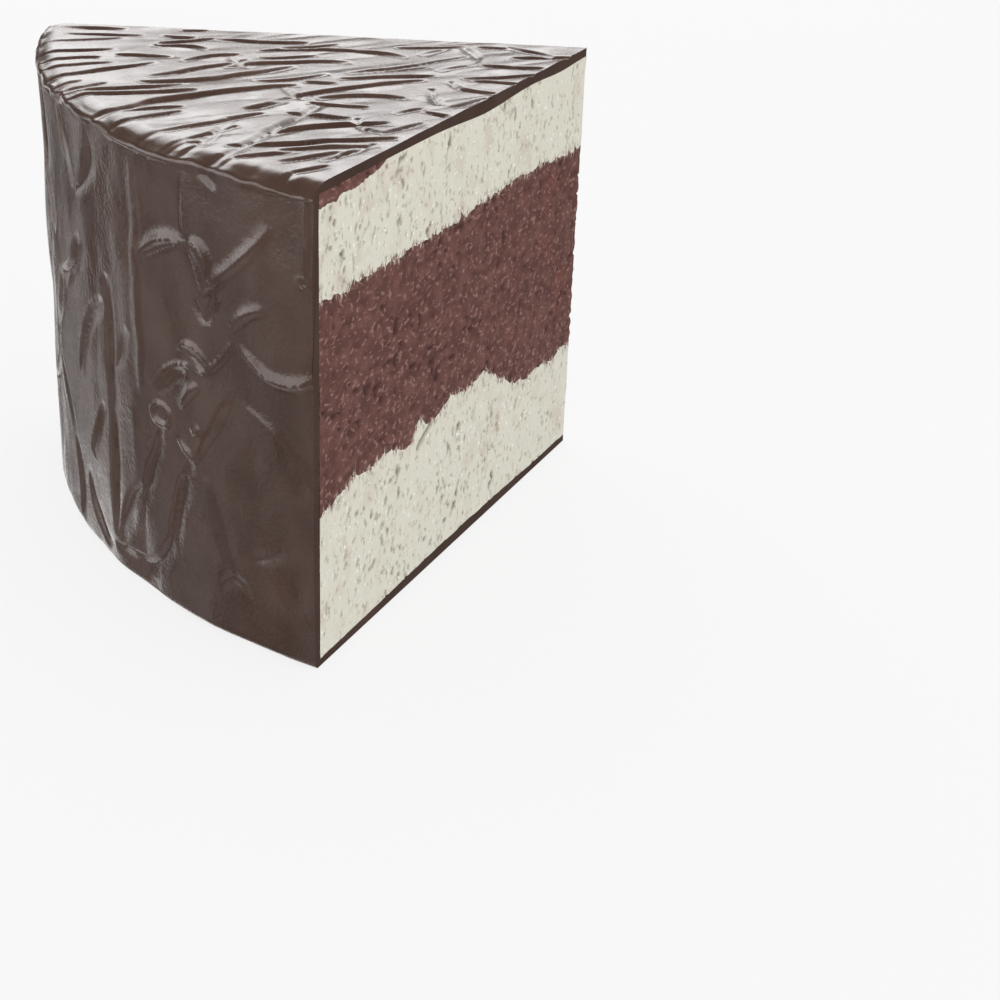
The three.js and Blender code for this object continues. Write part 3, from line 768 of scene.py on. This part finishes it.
def rim_sliver(materials):
    """The thin piece of sponge under the glaze, swept from the cut face along the wall."""
    skin = Skin()
    loops = []
    columns = int(SLIVER["length"] / CRUMB_STEP)
    for across in np.linspace(1, SLIVER["from"], SLIVER_LOOPS):
        turn = across * HALF_ANGLE
        reach = layer_edge(turn) - sliver_length(across) * evenly(columns)[::-1]
        top = coat_underside(reach, across)
        bottom = top - np.maximum(sliver_depth(reach, across), SLIVER["least"])
        grid = place(reach[:, None], turn, bottom[:, None] + (top - bottom)[:, None] * evenly(SLIVER_ROWS))
        if across == 1:
            depth, fields = sponge_relief(grid, across)
            face = skin.add(grid + depth[..., None] * outward(across))
            skin.quads(face.T)
            loop = np.concatenate([face[:, 0], face[-1, 1:], face[-2::-1, -1], face[0, -2::-1]])
        else:
            border = np.concatenate([grid[:, 0], grid[-1, 1:], grid[-2::-1, -1], grid[0, -2:0:-1]])
            loop = skin.add(border)
            loop = np.append(loop, loop[0])
        loops.append(loop)
    for first, second in zip(loops, loops[1:]):
        skin.quads(np.stack([first, second]).T)
    skin.faces.append([int(index) for index in loops[-1][:-1]])
    skin.face_materials.append(0)
    padded = {}
    for field, values in fields.items():
        padded[field] = np.concatenate([values.ravel(), np.zeros(skin.count - values.size)])
    return make_piece("rim_sponge_sliver", skin, materials, "rim_sponge", padded)


def seam_nearness(reach, across, height, spread):
    """One at a seam between cream and sponge, fading to zero away from it."""
    to_upper = abs(height - upper_seam(reach, across))
    to_lower = abs(height - lower_seam(reach, across))
    return bell(np.minimum(to_upper, to_lower), spread)


def sponge_relief(grid, across):
    """Open crumb: soft swells with crumbs and pores that lie flat, with painted shade in the pores."""
    reach = np.hypot(grid[..., 0], grid[..., 1])
    flat = grid * CRUMB["stretch"]
    crumb = CRUMB["strength"] * layered_noise(flat, CRUMB["size"], CRUMB["seed"], 2)
    patches = PORE_PATCHES["share"] * noise(grid, PORE_PATCHES["size"], PORE_PATCHES["seed"])
    openness = noise(flat, PORES["size"], PORES["seed"]) + patches
    pores = smooth_step(openness, PORES["from"], PORES["full"])
    swell = noise(grid, SWELL["size"], SWELL["seed"])
    depth = CRUMB["height"] * crumb + SWELL["height"] * swell - PORES["depth"] * pores
    seam = seam_nearness(reach, across, grid[..., 2], SPONGE_SEAM)
    return depth, {"crumb": crumb, "pit_shade": pores, "seam": seam}


def cream_crack(reach, height):
    """One along the crack in the cream, fading to zero away from it."""
    (reach_a, height_a), (reach_b, height_b) = CREAM_CRACK["from"], CREAM_CRACK["to"]
    run = reach_b - reach_a
    rise = height_b - height_a
    share = np.clip(((reach - reach_a) * run + (height - height_a) * rise) / (run ** 2 + rise ** 2), 0, 1)
    off = np.hypot(reach - reach_a - share * run, height - height_a - share * rise)
    return bell(off, CREAM_CRACK["width"])


def cream_relief(grid, across):
    """Spread cream with marks of the knife, slanting pits in clusters and one crack, with painted shade in
    pits and crack.
    """
    reach = np.hypot(grid[..., 0], grid[..., 1])
    height = grid[..., 2]
    slanted_reach = reach + PITS["slant"] * height
    slanted = np.stack([slanted_reach, across + 0 * reach, PITS["stretch"] * height], axis=-1)
    clusters = layered_noise(grid, PIT_CLUSTERS["size"], PIT_CLUSTERS["seed"], 2)
    clusters = smooth_step(clusters, PIT_CLUSTERS["from"], PIT_CLUSTERS["full"])
    large = LARGE_PITS["share"] * noise(slanted, LARGE_PITS["size"], LARGE_PITS["seed"])
    openness = noise(slanted, PITS["size"], PITS["seed"]) + large
    crack = cream_crack(reach, height) * (across == 1)
    pits = np.maximum(smooth_step(openness, PITS["from"], PITS["full"]) * clusters, crack)
    marks = layered_noise(grid * KNIFE_MARKS["stretch"], KNIFE_MARKS["size"], KNIFE_MARKS["seed"], 3)
    depth = KNIFE_MARKS["height"] * marks - PITS["depth"] * pits - CREAM_CRACK["depth"] * crack
    return depth, {"pit_shade": pits, "seam": seam_nearness(reach, across, height, CREAM_SEAM)}


# Materials: sizes of noise are millimetres, and a range says which part of the noise shows

def new_material(name):
    material = bpy.data.materials.new(name)
    material.use_nodes = True
    tree = material.node_tree
    return material, tree, tree.nodes["Principled BSDF"]


def add_node(tree, kind, settings=None, inputs=None):
    """A shader node with its settings and inputs; an input that is a socket is linked."""
    node = tree.nodes.new(kind)
    for key, value in (settings or {}).items():
        setattr(node, key, value)
    for key, value in (inputs or {}).items():
        if isinstance(value, bpy.types.NodeSocket):
            tree.links.new(value, node.inputs[key])
        else:
            node.inputs[key].default_value = value
    return node


def noise_node(tree, size, detail=3.0, stretch=(1, 1, 1)):
    """Noise with features of about `size` millimetres in object space."""
    coordinates = add_node(tree, "ShaderNodeTexCoord").outputs["Object"]
    mapping = add_node(tree, "ShaderNodeMapping", {}, {"Vector": coordinates, "Scale": stretch})
    scaled = mapping.outputs["Vector"]
    inputs = {"Vector": scaled, "Scale": 1 / (size * MM), "Detail": detail, "Roughness": 0.55}
    return add_node(tree, "ShaderNodeTexNoise", {}, inputs).outputs["Fac"]


def field_node(tree, field):
    return add_node(tree, "ShaderNodeAttribute", {"attribute_name": field}).outputs["Fac"]


def range_node(tree, value, low, high, to_low=0.0, to_high=1.0):
    inputs = {"Value": value, "From Min": low, "From Max": high, "To Min": to_low, "To Max": to_high}
    node = add_node(tree, "ShaderNodeMapRange", {"interpolation_type": "SMOOTHSTEP"}, inputs)
    return node.outputs["Result"]


def mix_node(tree, share, first, second):
    node = add_node(tree, "ShaderNodeMix", {"data_type": "RGBA"})
    for socket, value in ((node.inputs[0], share), (node.inputs[6], first), (node.inputs[7], second)):
        if isinstance(value, bpy.types.NodeSocket):
            tree.links.new(value, socket)
        else:
            socket.default_value = value
    return node.outputs[2]


def bump_node(tree, height, distance, strength=1.0):
    inputs = {"Height": height, "Distance": distance * MM, "Strength": strength}
    return add_node(tree, "ShaderNodeBump", {}, inputs).outputs["Normal"]


def colour(display_values):
    """A colour given in 0 to 255 display values, as linear light."""
    linear = []
    for value in display_values:
        share = value / 255
        linear.append(share / 12.92 if share <= 0.04045 else ((share + 0.055) / 1.055) ** 2.4)
    return (*linear, 1.0)


def chocolate_material(name, rough, gloss, colours):
    darker, lighter = colours
    material, tree, shader = new_material(name)
    patches = range_node(tree, noise_node(tree, 14), 0.35, 0.7)
    base = mix_node(tree, patches, colour(darker), colour(lighter))
    tree.links.new(base, shader.inputs["Base Color"])
    uneven = range_node(tree, noise_node(tree, 6), 0.3, 0.7, rough - 0.04, rough + 0.08)
    tree.links.new(uneven, shader.inputs["Roughness"])
    grain = range_node(tree, field_node(tree, "upright"), 0, 1, 0.2, 1)
    tree.links.new(bump_node(tree, noise_node(tree, 0.8, 3), 0.075, grain), shader.inputs["Normal"])
    shader.inputs["IOR"].default_value = 1.46
    shader.inputs["Specular IOR Level"].default_value = gloss
    return material


def torn_colour(tree, base, other):
    """Thin upright fibres of the neighbouring layer's colour, close to a seam."""
    fibres = range_node(tree, noise_node(tree, 0.55, 2, (1, 1, 0.3)), 0.54, 0.62)
    return mix_node(tree, field_node(tree, "seam"), base, mix_node(tree, fibres, base, other))


def cream_material():
    material, tree, shader = new_material("cream")
    zones = range_node(tree, noise_node(tree, 6, 4), 0.5, 0.7, 0, 0.7)
    base = mix_node(tree, zones, colour(CREAM_PALE), colour(CREAM_WARM))
    flecks = range_node(tree, noise_node(tree, 1.1, 3, (1, 1, 0.75)), 0.56, 0.68, 0, 0.8)
    base = mix_node(tree, flecks, base, colour(CREAM_FLECK))
    # Painted shade: darker in the pits and the crack
    base = mix_node(tree, field_node(tree, "pit_shade"), base, colour(CREAM_PIT_SHADE))
    # Painted highlight: pale specks that stand in for glints
    painted_glints = range_node(tree, noise_node(tree, 0.9, 1), 0.66, 0.74, 0, 0.9)
    base = mix_node(tree, painted_glints, base, colour(CREAM_PAINTED_GLINT))
    base = torn_colour(tree, base, colour(CREAM_STAIN))
    tree.links.new(base, shader.inputs["Base Color"])
    shader.inputs["Roughness"].default_value = 0.5
    tree.links.new(bump_node(tree, noise_node(tree, 0.7, 3, (1, 1, 0.4)), 0.12), shader.inputs["Normal"])
    return material


def sponge_material():
    material, tree, shader = new_material("sponge")
    crumb = range_node(tree, field_node(tree, "crumb"), -0.5, 0.6)
    base = mix_node(tree, crumb, colour(SPONGE_DARK), colour(SPONGE_LIGHT))
    red = range_node(tree, noise_node(tree, 12, 2), 0.58, 0.76, 0, 0.5)
    base = mix_node(tree, red, base, colour(SPONGE_RED))
    # Painted highlight: light specks that stand in for glints on the fibres
    flecks = range_node(tree, noise_node(tree, 0.7, 1, (0.65, 0.65, 1)), 0.57, 0.7, 0, 0.8)
    base = mix_node(tree, flecks, base, colour(SPONGE_GLINT_FLECK))
    # Painted shade: darker in the pores
    base = mix_node(tree, field_node(tree, "pit_shade"), base, colour(SPONGE_PORE_SHADE))
    base = torn_colour(tree, base, colour(SPONGE_SMEAR))
    tree.links.new(base, shader.inputs["Base Color"])
    shader.inputs["Roughness"].default_value = 0.8
    tree.links.new(bump_node(tree, noise_node(tree, 0.5, 3), 0.2), shader.inputs["Normal"])
    return material


# Stage

def floor_material():
    """A pale floor that is lit from inside, like a light table, so that it shows hardly any shadow."""
    material, tree, shader = new_material("floor")
    tone = range_node(tree, noise_node(tree, 300, 2), 0.3, 0.7)
    base = mix_node(tree, tone, *[colour(values) for values in FLOOR_COLOURS])
    tree.links.new(base, shader.inputs["Base Color"])
    shader.inputs["Roughness"].default_value = 0.9
    shader.inputs["Specular IOR Level"].default_value = 0.0
    shader.inputs["Emission Color"].default_value = (1, 1, 1, 1)
    shader.inputs["Emission Strength"].default_value = FLOOR_GLOW
    return material


def make_floor():
    mesh = bpy.data.meshes.new("floor")
    corners = [(x * FLOOR_HALF, y * FLOOR_HALF, 0) for x, y in ((-1, -1), (1, -1), (1, 1), (-1, 1))]
    mesh.from_pydata(corners, [], [(0, 1, 2, 3)])
    mesh.materials.append(floor_material())
    floor = bpy.data.objects.new("floor", mesh)
    floor.location.z = -FLOOR_DROP
    floor.visible_glossy = False
    bpy.context.scene.collection.objects.link(floor)


def make_light(name, place_at, look_at, width, height, radiance, shines):
    """A soft panel that gives either diffuse light or reflections."""
    light = bpy.data.lights.new(name, "AREA")
    light.shape = "RECTANGLE"
    light.size = width
    light.size_y = height
    light.energy = radiance * math.pi * width * height
    lamp = bpy.data.objects.new(name, light)
    lamp.location = place_at
    lamp.rotation_euler = (Vector(look_at) - Vector(place_at)).to_track_quat("-Z", "Y").to_euler()
    lamp.visible_camera = False
    lamp.visible_diffuse = not shines
    lamp.visible_glossy = shines
    bpy.context.scene.collection.objects.link(lamp)


def make_world(above, darkest_below, brightest_below):
    """A dim room, with soft patches of light and dark below the horizon that show in the glossy wall.

    They are brightest towards the middle of the wall's left half, and dimmer to either side.
    """
    world = bpy.data.worlds.new("studio")
    world.use_nodes = True
    tree = world.node_tree
    direction = add_node(tree, "ShaderNodeTexCoord").outputs["Generated"]
    parts = add_node(tree, "ShaderNodeSeparateXYZ", {}, {"Vector": direction})
    sideways = parts.outputs["X"]
    up = parts.outputs["Z"]
    inputs = {"Vector": direction, "Scale": 4.5, "Detail": 2.0}
    patches = add_node(tree, "ShaderNodeTexNoise", {}, inputs).outputs["Fac"]
    rising = range_node(tree, sideways, -0.45, 0.05, 0.3 * brightest_below, brightest_below)
    brightest = range_node(tree, sideways, 0.05, 0.65, rising, 0.28 * brightest_below)
    below = range_node(tree, patches, 0.39, 0.61, darkest_below, brightest)
    background = tree.nodes["Background"]
    background.inputs["Color"].default_value = (1, 1, 1, 1)
    tree.links.new(range_node(tree, up, -0.1, 0.1, below, above), background.inputs["Strength"])
    bpy.context.scene.world = world


def make_camera():
    data = bpy.data.cameras.new("camera")
    data.lens = CAMERA_LENS
    data.clip_start = CAMERA_NEAR
    camera = bpy.data.objects.new("camera", data)
    turn = Matrix.Rotation(CAMERA_YAW - math.pi / 2, 4, "Z")
    tilt = Matrix.Rotation(math.pi / 2 - CAMERA_PITCH, 4, "X")
    roll = Matrix.Rotation(CAMERA_ROLL, 4, "Z")
    camera.matrix_world = Matrix.Translation(CAMERA_EYE) @ turn @ tilt @ roll
    bpy.context.scene.collection.objects.link(camera)
    bpy.context.scene.camera = camera


# Assembly

chocolate = chocolate_material("chocolate", 0.22, 0.5, COAT_COLOURS)
chocolate_cut = chocolate_material("chocolate_cut", 0.6, 0.15, COAT_CUT_COLOURS)
cream = cream_material()
sponge = sponge_material()

coating([chocolate, chocolate_cut])
layer("upper_cream_layer", [cream], "upper_cream", "cream", upper_seam, upper_cream_top, cream_relief, 46)
layer("sponge_layer", [sponge], "chocolate_sponge", "sponge", lower_seam, upper_seam, sponge_relief, 100)
layer("lower_cream_layer", [cream], "lower_cream", "cream", base_top, lower_seam, cream_relief, 70)
rim_sliver([sponge])

make_floor()
make_world(above=0.1, darkest_below=0.02, brightest_below=2.9)
make_light("overhead", (0, 0, 2.5), (0, 0, 0), width=5, height=5, radiance=1.0, shines=False)
for side in (1, -1):
    make_light("fill", (-0.3, 1.5 * side, 0.35), (0, 0, 0.05), width=2, height=2, radiance=1.6, shines=False)
make_light("back_panel", (-0.32, -0.50, 0.36), (0, 0, 0.08), width=0.75, height=0.27, radiance=3.9,
           shines=True)
make_light("edge_panel", (-0.225, -0.90, 0.15), (0.03, -0.05, 0.08), width=0.13, height=0.26, radiance=2.2,
           shines=True)
make_light("side_panel", (0.54, -0.2, 0.22), (0, 0, 0.05), width=0.68, height=0.45, radiance=3.2, shines=True)
make_camera()
bpy.context.scene.view_settings.view_transform = "Standard"
